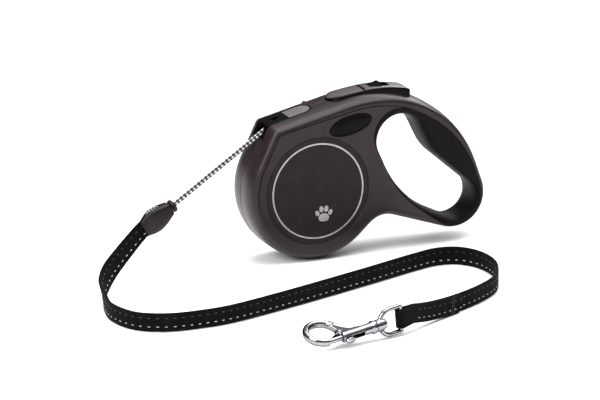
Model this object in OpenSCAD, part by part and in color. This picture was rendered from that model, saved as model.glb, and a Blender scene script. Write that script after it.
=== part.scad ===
// Retractable dog leash: a hand-held case with a spring reel, a brake button,
// a braided cord, and a webbing lead that ends in a swivel bolt snap.
// Axes: X runs from the cord nose (-X) to the handle (+X), Y runs through the
// case, Z is up. The origin is the middle of the reel axle.

/* [Case] */
// Radius of the round reel case
case_r = 46.5; // [46:0.1:47]
// Half the thickness of the case at the reel
case_half = 17.5; // [17.3:0.1:18]
// How much the case thins, each side, for each millimetre along the handle
handle_taper = 0.06; // [0.04:0.01:0.06]
// Wall thickness of the case
wall = 2.2; // [2:0.1:2.4]
// Gap left between separate moulded parts
gap = 0.12; // [0.1:0.01:0.15]

/* [Label] */
// Radius of the round label disc
label_r = 35; // [34:0.5:36]
// Length of the oval badge
badge_l = 30; // [26:1:32]
// Width of the oval badge
badge_w = 12.6; // [11:0.2:13]

/* [Reel] */
// Radius of the fixed axle
axle_r = 4; // [3.5:0.1:4.5]
// Radial running clearance of the spool on the axle
run_fit = 0.06; // [0.03:0.01:0.09]
// Radius of the spool's toothed flange
flange_r = 39.5; // [39:0.1:39.8]
// Number of brake teeth around the flange
teeth = 24; // [24:1:24]
// Radius of the cord winding at rest
wind_r = 36; // [35:0.5:36.5]
// Outer radius of the spool hub
hub_r = 20; // [19:0.5:21]
// Turns of the mainspring strip
spring_turns = 8; // [6:1:10]

/* [Leash] */
// Diameter of the braided cord
cord_d = 3; // [2.8:0.1:3.2]
// Width of the webbing
belt_w = 12; // [11:0.5:12.5]
// Thickness of one layer of the webbing
belt_t = 1.5; // [1.3:0.1:1.6]
// Height of the floor below the axle
floor_z = -46.5; // [-47:0.1:-46.5]

/* [Snap hook] */
// Radius of the round opening that takes the collar ring
eye_r = 7.5; // [7:0.1:7.8]
// Thickness of the hook
hook_t = 5; // [4.5:0.1:5.5]
// Distance from the webbing bar to the middle of the opening
eye_x = 52; // [51:0.5:53]

/* [Hidden] */

// Circles that the outline runs round, as [x, z, radius]; a negative radius
// is a hollow that the outline passes on the outside.
outer_circles = [
  [0, 0, case_r], [49.4, -39.2, -15.8], [98.2, -15, 22.8],
  [39.4, -22.1, 80.5], [-26, 38.5, 6.5]
];
hole_circles = [[100, -18, 13.3], [104.2, 33, -28], [59, 27, 15.2], [119, 43, 76.5]];
liner_circles = [[97.5, -15.9, 19.3], [39.5, -27.4, 78], [56.5, 31, 17.6], [111, 36.2, 69]];

taper_x = 45;      // where the handle starts to thin
flat_half = 5;     // half the straight band of the rim
edge_drum = 5;     // how far the rim rounds in at the reel
edge_loop = 3.3;   // how far the rim rounds in at the thin loop
hole_edge_grip = 5;
hole_edge_loop = 2.8;

black = [0.09, 0.08, 0.085];
soft_black = [0.05, 0.045, 0.05];
gloss_black = [0.02, 0.02, 0.022];
grey = [0.33, 0.33, 0.35];
steel = [0.62, 0.63, 0.65];
chrome = [0.8, 0.81, 0.83];
white = [0.92, 0.92, 0.9];

// --- the cord and the leash frame ---
mouth = [-22.5, 0, 44];
bead_at = [-96.2, -8, -1.3];
pull = (bead_at - mouth) / norm(bead_at - mouth);
cap_across = [-0.518, -0.054, 0.853];
cap_len = 22;

// --- the snap hook frame ---
hook_yaw = 191;
hook_dip = 6;
hook_tilt = 17;
bar_r = 1.6;
eye_wide = 19.4;
bar_at = [-14.5, -178, floor_z + eye_wide / 2 + 1];
bar_dir = [sin(hook_dip) * cos(hook_yaw), sin(hook_dip) * sin(hook_yaw), cos(hook_dip)];

// ---------- helpers ----------
function mix(a, b, t) = a + (b - a) * max(0, min(1, t));
function unit(v) = v / norm(v);
function turn(a) = a - 360 * floor(a / 360);
function leave(a, b) = atan2(b[1] - a[1], b[0] - a[0])
  - acos((a[2] - b[2]) / norm([b[0] - a[0], b[1] - a[1]]));

// Points [x, z, nx, nz] round a belt of circles, about step mm apart.
function belt_of(c, step) = [
  for (i = [0:len(c) - 1])
    let (before = leave(c[(i + len(c) - 1) % len(c)], c[i]), after = leave(c[i], c[(i + 1) % len(c)]),
         r = c[i][2], arc = r > 0 ? turn(after - before) : -turn(before - after),
         n = max(2, ceil(abs(arc * r) * PI / 180 / step)))
      for (k = [0:n])
        let (a = before + arc * k / n)
          [c[i][0] + r * cos(a), c[i][1] + r * sin(a), cos(a), sin(a)]
];

function rim_in(x) = mix(edge_drum, edge_loop, (x - 40) / 50);
function hole_in(x) = mix(hole_edge_grip, hole_edge_loop, (x - 60) / 45);

// A closed mesh through rings of equal length.
module loft(rings) {
  n = len(rings[0]);
  m = len(rings);
  polyhedron(
    points = [for (ring = rings) each ring],
    faces = [
      [for (i = [0:n - 1]) i],
      [for (i = [0:n - 1]) (m - 1) * n + n - 1 - i],
      for (k = [0:m - 2], i = [0:n - 1]) [k * n + i, (k + 1) * n + i, (k + 1) * n + (i + 1) % n],
      for (k = [0:m - 2], i = [0:n - 1]) [k * n + i, (k + 1) * n + (i + 1) % n, k * n + (i + 1) % n]
    ]
  );
}

// The case outline as a solid with elliptical edges.
module rounded_case() {
  path = belt_of(outer_circles, 7);
  angles = [90, 60, 30, 0];
  loft([
    for (side = [1, -1], a = side > 0 ? angles : [0, 30, 60, 90])
      [for (p = path)
        let (in = rim_in(p[0]) * (1 - cos(a)))
          [p[0] - p[2] * in, side * (flat_half + (case_half - flat_half) * sin(a)), p[1] - p[3] * in]]
  ]);
}

// The hand hole, flaring out towards both faces.
module hand_hole() {
  path = belt_of(hole_circles, 7);
  angles = [90, 50, 0];
  loft([
    for (side = [1, -1], a = side > 0 ? angles : [0, 50, 90])
      [for (p = path)
        let (out = hole_in(p[0]) * (1 - cos(a)))
          [p[0] + p[2] * out, side * (flat_half + (case_half + 0.01 - flat_half) * sin(a)), p[1] + p[3] * out]]
  ]);
}

// Thins whatever it holds towards the end of the handle, for the near side,
// and stops short of the seam by half of slit.
module thinned(slit) {
  k = handle_taper;
  intersection() {
    children();
    translate([-60, -30, -60]) cube([60 + taper_x, 30 - slit / 2, 140]);
  }
  intersection() {
    multmatrix([[1, 0, 0, 0], [k, 1, 0, -k * taper_x], [0, 0, 1, 0], [0, 0, 0, 1]])
      children();
    translate([taper_x, -30, -60]) cube([90, 30 - slit / 2, 140]);
  }
}

// The whole case as a solid, on the near side of the seam.
module half_case(slit) {
  thinned(slit)
    difference() {
      rounded_case();
      hand_hole();
    }
}

module prism(circles, grow, y0, y1) {
  translate([0, y1, 0])
    rotate([90, 0, 0])
      linear_extrude(y1 - y0)
        polygon([for (p = belt_of([for (c = circles) [c[0], c[1], c[2] + grow]], 6)) [p[0], p[1]]]);
}

module along_y(y0, y1, r) {
  translate([0, y1, 0]) rotate([90, 0, 0]) cylinder(h = y1 - y0, r = r, $fn = r < 3 ? 24 : 64);
}

// Half the thickness of the case at x.
function face_at(x) = case_half - handle_taper * max(0, x - taper_x);

// ---------- case ----------
boss_at = [[4, 49.3], [50, -14], [82, 41.4]];
reel_room_r = case_r - wall - 2.4;

// Room for the button at rest and pressed.
module button_pocket() {
  half = 8.4 + gap;
  translate([0, half, 0])
    rotate([90, 0, 0])
      linear_extrude(2 * half)
        polygon([
          [12.5, 47.6], [22, 47], [30, 48.8], [44, 50.2], [56, 49.8], [68.5, 46.2],
          [68.5, 66], [10, 66], [12, 54]
        ]);
}

module badge_outline(grow) {
  polygon([for (a = [0:10:350]) [(badge_l / 2 + grow) * cos(a), (badge_w / 2 + grow) * sin(a)]]);
}

module badge_place(side) {
  translate([22.6, side * (case_half - 0.9), 41.2]) rotate([0, -13, 0]) rotate([90, 0, 0]) children();
}

// One half of the case, drawn on the near side.
module shell_half() {
  difference() {
    half_case(gap);
    along_y(-case_half + wall, 1, reel_room_r);
    along_y(-case_half - 1, -case_half + 0.9, label_r + 0.3);
    prism(liner_circles, gap, -30, 30);
    nose_room();
    mechanism_room();
    button_pocket();
    badge_place(-1) linear_extrude(3) badge_outline(gap);
    for (p = boss_at) translate([p[0], 0, p[1]]) along_y(-face_at(p[0]) + 3.8, 1, 1.4);
    translate([hinge_at[0], 0, hinge_at[2]]) along_y(-11.2, 1, 1.7);
    translate([pawl_at[0], 0, pawl_at[2]]) along_y(-13.2, -11, 1.65);
    xz_prism([[-8, 37.2], [-8, 42.4], [-22, 46.5], [-22, 41.3]], -2.6, 2.6);
    xz_prism([[-28, 38.3], [-28, 42], [-38, 37], [-38, 32.1]], -3.2, 3.2);
  }
  difference() {
    along_y(-case_half + wall - 0.5, -reel_half - 1.1, 6.5);
    along_y(-case_half + wall, 0, axle_r + 0.1);
  }
}

nose_rise = 22;

// Seat for the nose insert.
module nose_room() {
  intersection() {
    translate([-60, -8 - gap, 34]) cube([62, 16 + 2 * gap, 30]);
    translate([-34, -20, 35.4]) rotate([0, -nose_rise, 0]) cube([50, 40, 30]);
  }
}

// Room over the reel for the brake parts and the cord's way to the nose.
module mechanism_room() {
  translate([0, 12, 0])
    rotate([90, 0, 0])
      linear_extrude(24)
        polygon([
          [-24, 36], [40, 16], [38.4, 30], [41, 40], [47, 46], [21, 48.6], [12.6, 48.6], [2, 45.5], [-22, 38]
        ]);
}

module shell_left() {
  color(black)
    resize([0, 0, 0])
      union() {
        shell_half();
        translate([33, -12.5, 32.8]) cube([5.3, 4.6, 1.6]);
      }
}

module shell_right() {
  color(black)
    resize([0, 0, 0])
      mirror([0, 1, 0])
        difference() {
          shell_half();
          for (p = boss_at) translate([p[0], 0, p[1]]) along_y(-19, -face_at(p[0]) + 3.85, 1.95);
        }
}

// Soft ring set into both shells all round the hand hole.
module grip_liner() {
  color(soft_black)
    resize([0, 0, 0])
      intersection() {
        prism(liner_circles, 0, -30, 30);
        union() {
          half_case(0);
          mirror([0, 1, 0]) half_case(0);
        }
      }
}

module case_screws() {
  color(steel)
    for (p = boss_at)
      translate([p[0], 0, p[1]]) {
        top = face_at(p[0]) - 3.75;
        along_y(-8, top, 1.2);
        along_y(top, top + 1.5, 1.8);
      }
}

module label_disc() {
  along_y(-case_half + 0.1, -case_half + 0.78, label_r);
}

module label_left() {
  color(black) label_disc();
}

module label_right() {
  color(black) mirror([0, 1, 0]) label_disc();
}

// Oval badge with a stepped, plain face, let in level with the case.
module badge() {
  badge_place(-1) {
    translate([0, 0, 0.12]) linear_extrude(0.5) badge_outline(0);
    translate([0, 0, 0.62]) linear_extrude(0.23) badge_outline(-1);
  }
}

module badge_left() {
  color(gloss_black) badge();
}

module badge_right() {
  color(gloss_black) mirror([0, 1, 0]) badge();
}

// ---------- nose ----------
module nose_insert() {
  color(gloss_black)
    resize([0, 0, 0])
      difference() {
        intersection() {
          rounded_case();
          translate([-60, -8, 34]) cube([61.8, 16, 30]);
          translate([-34 + gap, -20, 35.4 + gap]) rotate([0, -nose_rise, 0]) cube([50, 40, 30]);
        }
        cord_way(3.4);
      }
}

// The passage that the cord runs through, round its bend at the nose.
module cord_way(r) {
  for (ends = [[mouth + pull * 30, 3], [tangent_at, 1.5]])
    hull() {
      translate(mouth) sphere(r = r, $fn = 16);
      translate(ends[0]) sphere(r = r + ends[1], $fn = 16);
    }
}

// Hard ring that the cord slides over at the mouth.
module cord_eyelet() {
  color(steel)
    translate(mouth + pull * 2.4)
      rotate([0, 0, atan2(pull[1], pull[0])])
        rotate([0, acos(pull[2]), 0])
          rotate_extrude($fn = 48)
            translate([2.5, 0]) circle(r = 0.7, $fn = 24);
}

// ---------- reel ----------
tangent_a = atan2(mouth[2], mouth[0]) - acos(wind_r / norm(mouth));
tangent_at = [wind_r * cos(tangent_a), 0, wind_r * sin(tangent_a)];
reel_half = 11;
flange_t = 1.6;

module axle() {
  color(steel) {
    difference() {
      along_y(-14.8, 14.8, axle_r);
      translate([-0.5, -8.6, -axle_r - 1]) cube([1, 17.4, axle_r + 1]);
    }
  }
}

// Flanged drum that the cord winds on, with brake teeth on its near flange.
module spool() {
  color(grey)
    difference() {
      union() {
        along_y(-reel_half, -reel_half + flange_t, flange_r - 2.6);
        ratchet();
        along_y(reel_half - flange_t, reel_half, flange_r);
        along_y(-reel_half, reel_half, hub_r);
      }
      along_y(-reel_half + 2, reel_half + 1, hub_r - 1.8);
      along_y(-reel_half - 1, reel_half + 1, axle_r + run_fit);
      for (a = [30:60:330]) rotate([0, a, 0]) translate([28, 0, 0]) along_y(-reel_half - 1, reel_half + 1, 3.2);
    }
}

module ratchet() {
  pitch = 360 / teeth;
  translate([0, -reel_half + flange_t, 0])
    rotate([90, 0, 0])
      linear_extrude(flange_t)
        polygon([for (i = [0:teeth - 1], q = [[0, 0], [0.28, 0], [0.42, 2.4], [0.86, 2.4]])
          let (a = 45 + (i - 0.14 + q[0]) * pitch, r = flange_r - 2.4 + q[1])
            [r * cos(a), r * sin(a)]]);
}

// Lid of the spring chamber.
module spool_cover() {
  color(grey)
    difference() {
      union() {
        along_y(reel_half - 1.6, reel_half - 0.1, hub_r - 1.92);
        along_y(reel_half - 0.1, reel_half + 0.7, 12);
      }
      along_y(reel_half - 3, reel_half + 2, axle_r + run_fit + 0.04);
    }
}

// Flat strip wound from the axle's slot out to the chamber wall.
module mainspring() {
  steps = spring_turns * 16;
  strip = 0.35;
  r0 = axle_r + 0.5;
  r1 = hub_r - 5;
  inner = [for (i = [0:steps]) let (a = 360 * i / 16 - 90, r = r0 + (r1 - r0) * i / steps) [r * cos(a), r * sin(a)]];
  outer = [for (i = [steps:-1:0])
    let (a = 360 * i / 16 - 90, r = strip + r0 + (r1 - r0) * i / steps) [r * cos(a), r * sin(a)]];
  color(steel)
    translate([0, 8.6, 0])
      rotate([90, 0, 0])
        linear_extrude(16)
          polygon(concat([[0.2, -1]], inner, outer, [[-0.2, -r0 - strip], [-0.2, -1]]));
}

// The cord wound on the spool, with its outer turns showing.
module wound_cord() {
  turns = 6;
  half = reel_half - flange_t - 0.15;
  color(black)
    rotate([90, 0, 0])
      rotate_extrude($fn = 96)
        union() {
          translate([hub_r + 0.12, -half]) square([wind_r - 3.3 - hub_r, 2 * half]);
          for (i = [0:turns - 1])
            translate([wind_r - 3.15, -half + (i + 0.5) * 2 * half / turns]) circle(r = half / turns + 0.05, $fn = 24);
        }
}

// Straight lead from the winding to the mouth.
module inner_cord() {
  a = tangent_at + 2 * unit(mouth - tangent_at);
  b = mouth - 1.2 * unit(mouth - tangent_at);
  color(black) rod(a + [0, 0, 0.55], b + [0, 0, 0.2], cord_d / 2 - 0.1);
}

module rod(a, b, r) {
  d = b - a;
  translate(a)
    rotate([0, 0, atan2(d[1], d[0])])
      rotate([0, acos(d[2] / norm(d)), 0])
        cylinder(h = norm(d), r = r, $fn = 32);
}

// ---------- brake ----------
hinge_at = [14.6, 0, 51.2];
pawl_at = [16.4, 0, 45.4];
tooth_a = 45;

module xz_prism(points, y0, y1) {
  translate([0, y1, 0]) rotate([90, 0, 0]) linear_extrude(y1 - y0) polygon(points);
}

// Long push button, hinged at its front end.
module brake_button() {
  color(gloss_black)
    difference() {
      xz_prism([
        [16.6, 48.8], [20.4, 48.3], [30, 50.5], [44, 53], [56, 53.4], [64, 52.2], [68, 51.4],
        [68, 57.6], [66.5, 58.7], [64, 59.2], [58, 60.2], [52, 60.8], [44, 60.9], [36, 60.2],
        [30, 59.4], [17, 57.4], [13.1, 54.4], [12.7, 51.2], [13.4, 49.6], [14.6, 49.2]
      ], -8.4, 8.4);
      translate([hinge_at[0], 0, hinge_at[2]]) along_y(-9, 9, 1.6);
      translate([41.5, -4.2, 58.5]) cube([14.4, 8.4, 5]);
      translate([18, -7, 55.5]) rotate([0, -10.2, 0]) cube([20, 14, 6]);
    }
}

// Ribbed soft pad let into the front of the button.
module thumb_pad() {
  color(grey)
    translate([18, -7, 55.5])
      rotate([0, -10.2, 0]) {
        translate([gap, gap, 0]) cube([20 - 2 * gap, 14 - 2 * gap, 1.6]);
        for (i = [0:5]) translate([2 + 3 * i, 1.5, 1.6]) cube([1.2, 11, 0.5]);
      }
}

module button_pin() {
  color(steel)
    translate([hinge_at[0], 0, hinge_at[2]]) along_y(-11, 11, 1.54);
}

// Thumb slider that locks the button down.
module lock_slider() {
  color(gloss_black)
    xz_prism([[42.1, 58.6], [51.5, 58.6], [51.5, 60.9], [49.6, 62.4], [48.8, 62.4], [42.1, 60.7]], -4, 4);
}

// Brake arm with one tooth that drops between the spool's teeth.
module pawl() {
  tooth = [(flange_r + 1) * cos(tooth_a), (flange_r + 1) * sin(tooth_a)];
  y0 = -reel_half - 0.9;
  y1 = -reel_half + flange_t + 0.9;
  radial = [cos(tooth_a), sin(tooth_a)];
  side = [-sin(tooth_a), cos(tooth_a)];
  color(grey)
    difference() {
      union() {
        xz_prism([
          tooth + side * 0.7, tooth + radial * 4 + side * 1.9, [24, 41.4], [19.5, 44],
          [18.6, 47.4], [21.5, 47.6], [33, 44], [37.5, 42.5], [37.5, 40.5], [32.9, 40.5],
          tooth + radial * 5 - side * 0.6, tooth + radial * 2 - side * 1.5, tooth - side * 0.7
        ], y0, y1);
        translate([pawl_at[0], 0, pawl_at[2]]) along_y(y0, y1, 2.9);
        xz_prism([[18, 44.6], [22, 44.2], [22.2, 47.8], [17.6, 47.8]], y0, y1);
      }
      translate([pawl_at[0], 0, pawl_at[2]]) along_y(-20, 20, 1.56);
    }
}

module pawl_pin() {
  color(steel) translate([pawl_at[0], 0, pawl_at[2]]) along_y(-13, -3, 1.5);
}

// Coil spring; the wire follows a helix in square section.
module coil(r, wire, length, turns, sides) {
  steps = turns * sides;
  ring = [for (q = [[-1, -1], [-1, 1], [1, 1], [1, -1]]) q * wire / 2];
  loft([
    for (i = [0:steps])
      let (a = 360 * i / sides, z = wire / 2 + (length - wire) * i / steps)
        [for (q = ring) [(r + q[0]) * cos(a), (r + q[0]) * sin(a), z + q[1]]]
  ]);
}

module pawl_spring() {
  color(steel)
    translate([35.3, -9.9, 34.6])
      resize([0, 0, 0]) coil(1.6, 0.5, 5.3, 5, 12);
}

// ---------- cord and connector ----------
module leash_frame(at) {
  z = pull;
  x = unit(cap_across - z * (cap_across * z));
  y = cross(z, x);
  multmatrix([
    [x[0], y[0], z[0], at[0]], [x[1], y[1], z[1], at[1]], [x[2], y[2], z[2], at[2]], [0, 0, 0, 1]
  ]) children();
}

module cord_run() {
  color(white) rod(mouth + pull * 1.2, bead_at + pull * 1.95, cord_d / 2 - 0.1);
}

// Round stop bead that meets the nose when the leash is wound in.
module stop_bead() {
  color(soft_black)
    leash_frame(bead_at)
      rotate_extrude($fn = 48)
        hull() {
          translate([3.2, 0]) circle(r = 1.5, $fn = 24);
          translate([1.65, -1.2]) square([0.1, 2.4]);
        }
}

// Half width and half depth of the connector along its length, t from 0 to 1.
function cap_half_w(t) = 3.6 + 4.4 * pow(sin(min(90, 20 + 115 * t)), 1.4) - 2.6 * pow(max(0, t - 0.55) / 0.45, 2);
function cap_half_d(t) = 3.1 + 1.7 * sin(180 * min(1, t + 0.1)) - 0.5 * t;

module cap_half(side) {
  n = 24;
  levels = 8;
  resize([0, 0, 0])
    difference() {
      intersection() {
        loft([
          for (k = [0:levels])
            let (t = k / levels, w = cap_half_w(t), d = cap_half_d(t))
              [for (i = [0:n - 1])
                let (a = 360 * i / n, c = cos(a), s = sin(a))
                  [w * sign(c) * pow(abs(c), 0.7), d * sign(s) * pow(abs(s), 0.8), cap_len * t]]
        ]);
        translate([-20, side > 0 ? 0.05 : -20.05, -1]) cube([40, 20, cap_len + 2]);
      }
      translate([-6.5, -1.75, 9]) cube([13, 3.5, 40]);
      translate([0, 0, -1]) cylinder(h = 6, r = 1.7, $fn = 32);
      translate([-12, -1.75, 4.4]) cube([24, 3.5, 12]);
    }
}

module connector_front() {
  color(soft_black) leash_frame(bead_at + pull * 2) cap_half(-1);
}

module connector_back() {
  color(soft_black) leash_frame(bead_at + pull * 2) cap_half(1);
}

// The cord's end, looped round the edge of the webbing inside the connector.
module cord_loop() {
  bends = [[0, 0, 1.4], [0, 0, 5.4], [7.15, 0, 7.4], [7.15, 0, 15.1]];
  color(white)
    leash_frame(bead_at + pull * 2)
      resize([0, 0, 0])
        for (side = [0, 1], i = [0:len(bends) - 2])
          mirror([side, 0, 0])
            hull() {
              translate(bends[i]) sphere(r = i == 0 ? 1.3 : 0.95, $fn = 12);
              translate(bends[i + 1]) sphere(r = 0.95, $fn = 12);
            }
}

// ---------- webbing ----------
// Middle line of the webbing on the floor, as [x, y].
floor_path = [
  [-163, -63], [-166.5, -85], [-159.5, -106.5], [-142, -117], [-120, -118.5], [-98, -115.5],
  [-60, -103], [0, -80.5], [48, -61.5], [67, -56.5], [81, -61.5], [88.5, -77],
  [87.5, -98], [76, -122], [56, -139], [33, -151.5]
];
belt_z = floor_z + belt_w / 2 + 0.02;

// Control frames: [middle, direction across].
webbing_frames = concat(
  [
    [bead_at + pull * 13, cap_across],
    [bead_at + pull * 22, cap_across],
    [bead_at + pull * 27, unit(cap_across + [0.02, 0, 0])],
    [[-135.4, -20, -25.6], [-0.56, 0.10, 0.82]],
    [[-148.4, -31, -32.6], [-0.52, 0.24, 0.82]],
    [[-158.2, -46, -37.6], [-0.3, 0.16, 0.94]]
  ],
  [for (p = floor_path) [[p[0], p[1], belt_z], [0, 0, 1]]],
  [[[11.5, -162.5, belt_z + 1.6], [0, 0, 1]], [[-4, -171.6, bar_at[2]], bar_dir]]
);

function spline(a, b, c, d, t) = 0.5 * ((2 * b) + (c - a) * t + (2 * a - 5 * b + 4 * c - d) * t * t
  + (3 * b - a - 3 * c + d) * t * t * t);
function at_frame(i, k) = webbing_frames[max(0, min(len(webbing_frames) - 1, i))][k];
webbing_line = [
  for (i = [0:len(webbing_frames) - 2], s = [0:3])
    let (t = s / 4)
      [for (k = [0, 1]) spline(at_frame(i - 1, k), at_frame(i, k), at_frame(i + 1, k), at_frame(i + 2, k), t)],
  webbing_frames[len(webbing_frames) - 1]
];

function along(line, i) = unit(line[min(len(line) - 1, i + 1)][0] - line[max(0, i - 1)][0]);

// A flat strip swept along a line of frames, pushed sideways by off.
module strip(line, off, width, thick, lift) {
  loft([
    for (i = [0:len(line) - 1])
      let (t = along(line, i), w = unit(line[i][1] - t * (line[i][1] * t)), n = cross(t, w), c = line[i][0])
        [for (q = [[-1, -1], [1, -1], [1, 1], [-1, 1]])
          c + w * (lift + q[0] * width / 2) + n * (off + q[1] * thick / 2)]
  ]);
}

// The folded end: round the bar and back beside the main run.
belt_end = webbing_line[len(webbing_line) - 1][0];
end_dir = unit([bar_at[0] - belt_end[0], bar_at[1] - belt_end[1], 0]);
wrap_out = unit(end_dir - bar_dir * (end_dir * bar_dir));
wrap_side = cross(bar_dir, wrap_out);
wrap_r = bar_r + 0.15 + belt_t / 2;
fold_line = [
  for (a = [-30:21:180]) [bar_at + wrap_r * (wrap_out * sin(a) - wrap_side * cos(a)), bar_dir]
];
back_line = [
  for (i = [len(webbing_line) - 1:-1:len(webbing_line) - 9])
    let (f = webbing_line[i], n = cross(f[1], along(webbing_line, i)))
      [f[0] + unit(n) * (belt_t + 0.2), f[1]]
];

module webbing() {
  color(soft_black)
    resize([0, 0, 0]) strip(concat(webbing_line, fold_line, back_line), 0, belt_w, belt_t, 0);
}

// Thread dashes along both edges of both faces.
module edge_stitching() {
  color(white)
    resize([0, 0, 0])
      for (i = [20:3:len(webbing_line) - 6])
        let (c = webbing_line[i], t = along(webbing_line, i), n = cross(t, c[1]))
          for (z = [-1, 1])
            translate(c[0] + c[1] * z * (belt_w / 2 - 2) + n * (belt_t / 2 + 0.34))
              rotate([0, 0, atan2(t[1], t[0])])
                translate([-0.9, -0.1, -0.2]) cube([1.8, 0.2, 0.4]);
}

// Cross stitches that close the fold.
module fold_seam() {
  i = len(webbing_line) - 8;
  c = webbing_line[i];
  t = along(webbing_line, i);
  n = cross(t, c[1]);
  color(soft_black)
    resize([0, 0, 0])
      for (k = [-2:2])
        translate(c[0] + c[1] * k * 2.1 - n * (belt_t * 1.5 + 0.5))
          rotate([0, 0, atan2(t[1], t[0])])
            translate([-0.25, -0.15, -0.8]) cube([0.5, 0.3, 1.6]);
}

// ---------- snap hook ----------
// X runs from the bar to the opening, Z is along the bar.
module hook_frame() {
  translate(bar_at) rotate([0, 0, hook_yaw]) rotate([0, hook_dip, 0]) children();
}

// The hook's own plane leans back from the swivel.
module hook_plane() {
  rotate([180 - hook_tilt, 0, 0]) children();
}

module d_outline(half, front) {
  polygon([
    [front, -half], [8.4, -half],
    for (a = [-80:10:80]) [8.4 + half * cos(a), half * sin(a)],
    [8.4, half], [front, half]
  ]);
}

// D-shaped ring that the webbing is folded through, with the swivel's boss.
module swivel_eye() {
  color(chrome)
    hook_frame()
      difference() {
        union() {
          translate([0, 1.5, 0])
            rotate([90, 0, 0])
              linear_extrude(3)
                difference() {
                  d_outline(eye_wide / 2, -0.5);
                  d_outline(eye_wide / 2 - 3.2, 0.7);
                }
          translate([0, 0, -eye_wide / 2]) cylinder(h = eye_wide, r = bar_r, $fn = 32);
          translate([13.6, 0, 0]) rotate([0, 90, 0]) cylinder(h = 5.3, r = 4, $fn = 48);
        }
        translate([10, 0, 0]) rotate([0, 90, 0]) cylinder(h = 12, r = 2.06, $fn = 48);
      }
}

eye_y = 9.3;
gap_x = [45, 53.5];
bolt_r = 1.7;
barrel_end = 43.5;

// Round bar along the hook's own axis.
module along_hook(x0, x1, r) {
  translate([x0, 0, 0]) rotate([0, 90, 0]) cylinder(h = x1 - x0, r = r, $fn = 48);
}

// Body with the round collar opening, the bolt's barrel and the swivel stem.
module hook_body() {
  color(chrome)
    hook_frame()
      hook_plane()
        difference() {
          union() {
            translate([eye_x, eye_y, -hook_t / 2]) cylinder(h = hook_t, r = eye_r + 4, $fn = 64);
            along_hook(21, barrel_end, 3.5);
            along_hook(19.1, 22, 4.3);
            along_hook(12, 20, 2);
            along_hook(11.2, 13.4, 3.2);
            translate([0, 0, -hook_t / 2 + 0.4])
              linear_extrude(hook_t - 0.8)
                polygon([[26, -1], [26, 2.6], [34, 5], [39, 10.5], [41.5, 16], [45, 13], [43.4, 6], [43.4, -1]]);
          }
          translate([eye_x, eye_y, -10]) cylinder(h = 20, r = eye_r, $fn = 64);
          translate([gap_x[0], -8, -10]) cube([gap_x[1] - gap_x[0], 8 + bolt_r + 0.2, 20]);
          along_hook(25.8, 56, bolt_r + 0.1);
          translate([29.2, -8, -1.4]) cube([12.4, 8, 2.8]);
        }
}

// Sliding bolt that closes the gap in the collar opening.
module hook_bolt() {
  color(chrome) hook_frame() hook_plane() along_hook(38.4, 55.2, bolt_r);
}

module bolt_knob() {
  color(chrome)
    hook_frame()
      hook_plane() {
        translate([40.1, -bolt_r - 0.05, 0]) rotate([90, 0, 0]) cylinder(h = 2.4, r = 1.2, $fn = 32);
        translate([40.1, -bolt_r - 2.45, 0]) rotate([90, 0, 0]) cylinder(h = 1.6, r = 2.3, $fn = 32);
      }
}

module bolt_spring() {
  color(steel)
    hook_frame()
      hook_plane()
        translate([26.1, 0, 0])
          rotate([0, 90, 0])
            resize([0, 0, 0]) coil(1.2, 0.4, 12, 8, 10);
}

shell_left();
shell_right();
grip_liner();
nose_insert();
cord_eyelet();
label_left();
label_right();
badge_left();
badge_right();
case_screws();
axle();
spool();
spool_cover();
mainspring();
wound_cord();
inner_cord();
brake_button();
thumb_pad();
button_pin();
lock_slider();
pawl();
pawl_pin();
pawl_spring();
cord_run();
stop_bead();
connector_front();
connector_back();
cord_loop();
webbing();
edge_stitching();
fold_seam();
swivel_eye();
hook_body();
hook_bolt();
bolt_knob();
bolt_spring();
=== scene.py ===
"""Looks for the retractable leash: case, grip, nose, button, braided cord, webbing and snap hook.

Lengths are in millimetres in the CAD frame (X to the handle, Y through the case, Z up, origin at
the reel axle) and become metres as each mesh is made.
"""
from collections import Counter
from math import acos, atan2, ceil, cos, hypot, pi, radians, sin, tan, tau

import bmesh
import bpy
import numpy as np
from mathutils import Matrix, Vector
from mathutils.geometry import delaunay_2d_cdt


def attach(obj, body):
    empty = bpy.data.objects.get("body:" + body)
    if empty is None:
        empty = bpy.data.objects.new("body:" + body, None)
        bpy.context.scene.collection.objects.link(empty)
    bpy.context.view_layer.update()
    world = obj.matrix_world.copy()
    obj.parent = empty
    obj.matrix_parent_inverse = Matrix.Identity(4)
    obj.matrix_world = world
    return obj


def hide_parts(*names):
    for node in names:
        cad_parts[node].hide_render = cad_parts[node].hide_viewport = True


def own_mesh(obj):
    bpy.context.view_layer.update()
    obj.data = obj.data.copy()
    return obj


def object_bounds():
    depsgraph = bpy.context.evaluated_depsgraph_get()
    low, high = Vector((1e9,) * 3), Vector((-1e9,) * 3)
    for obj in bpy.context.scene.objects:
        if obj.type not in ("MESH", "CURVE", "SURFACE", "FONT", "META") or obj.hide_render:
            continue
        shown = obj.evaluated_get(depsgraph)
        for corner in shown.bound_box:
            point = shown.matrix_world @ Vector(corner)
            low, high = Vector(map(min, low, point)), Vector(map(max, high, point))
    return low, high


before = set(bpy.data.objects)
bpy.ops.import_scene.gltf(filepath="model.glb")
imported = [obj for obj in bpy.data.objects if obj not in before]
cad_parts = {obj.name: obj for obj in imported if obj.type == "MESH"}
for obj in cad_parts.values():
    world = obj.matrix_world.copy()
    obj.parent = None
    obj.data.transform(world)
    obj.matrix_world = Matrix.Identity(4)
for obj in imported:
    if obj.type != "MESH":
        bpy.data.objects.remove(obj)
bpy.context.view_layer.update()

MM = 0.001

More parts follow.
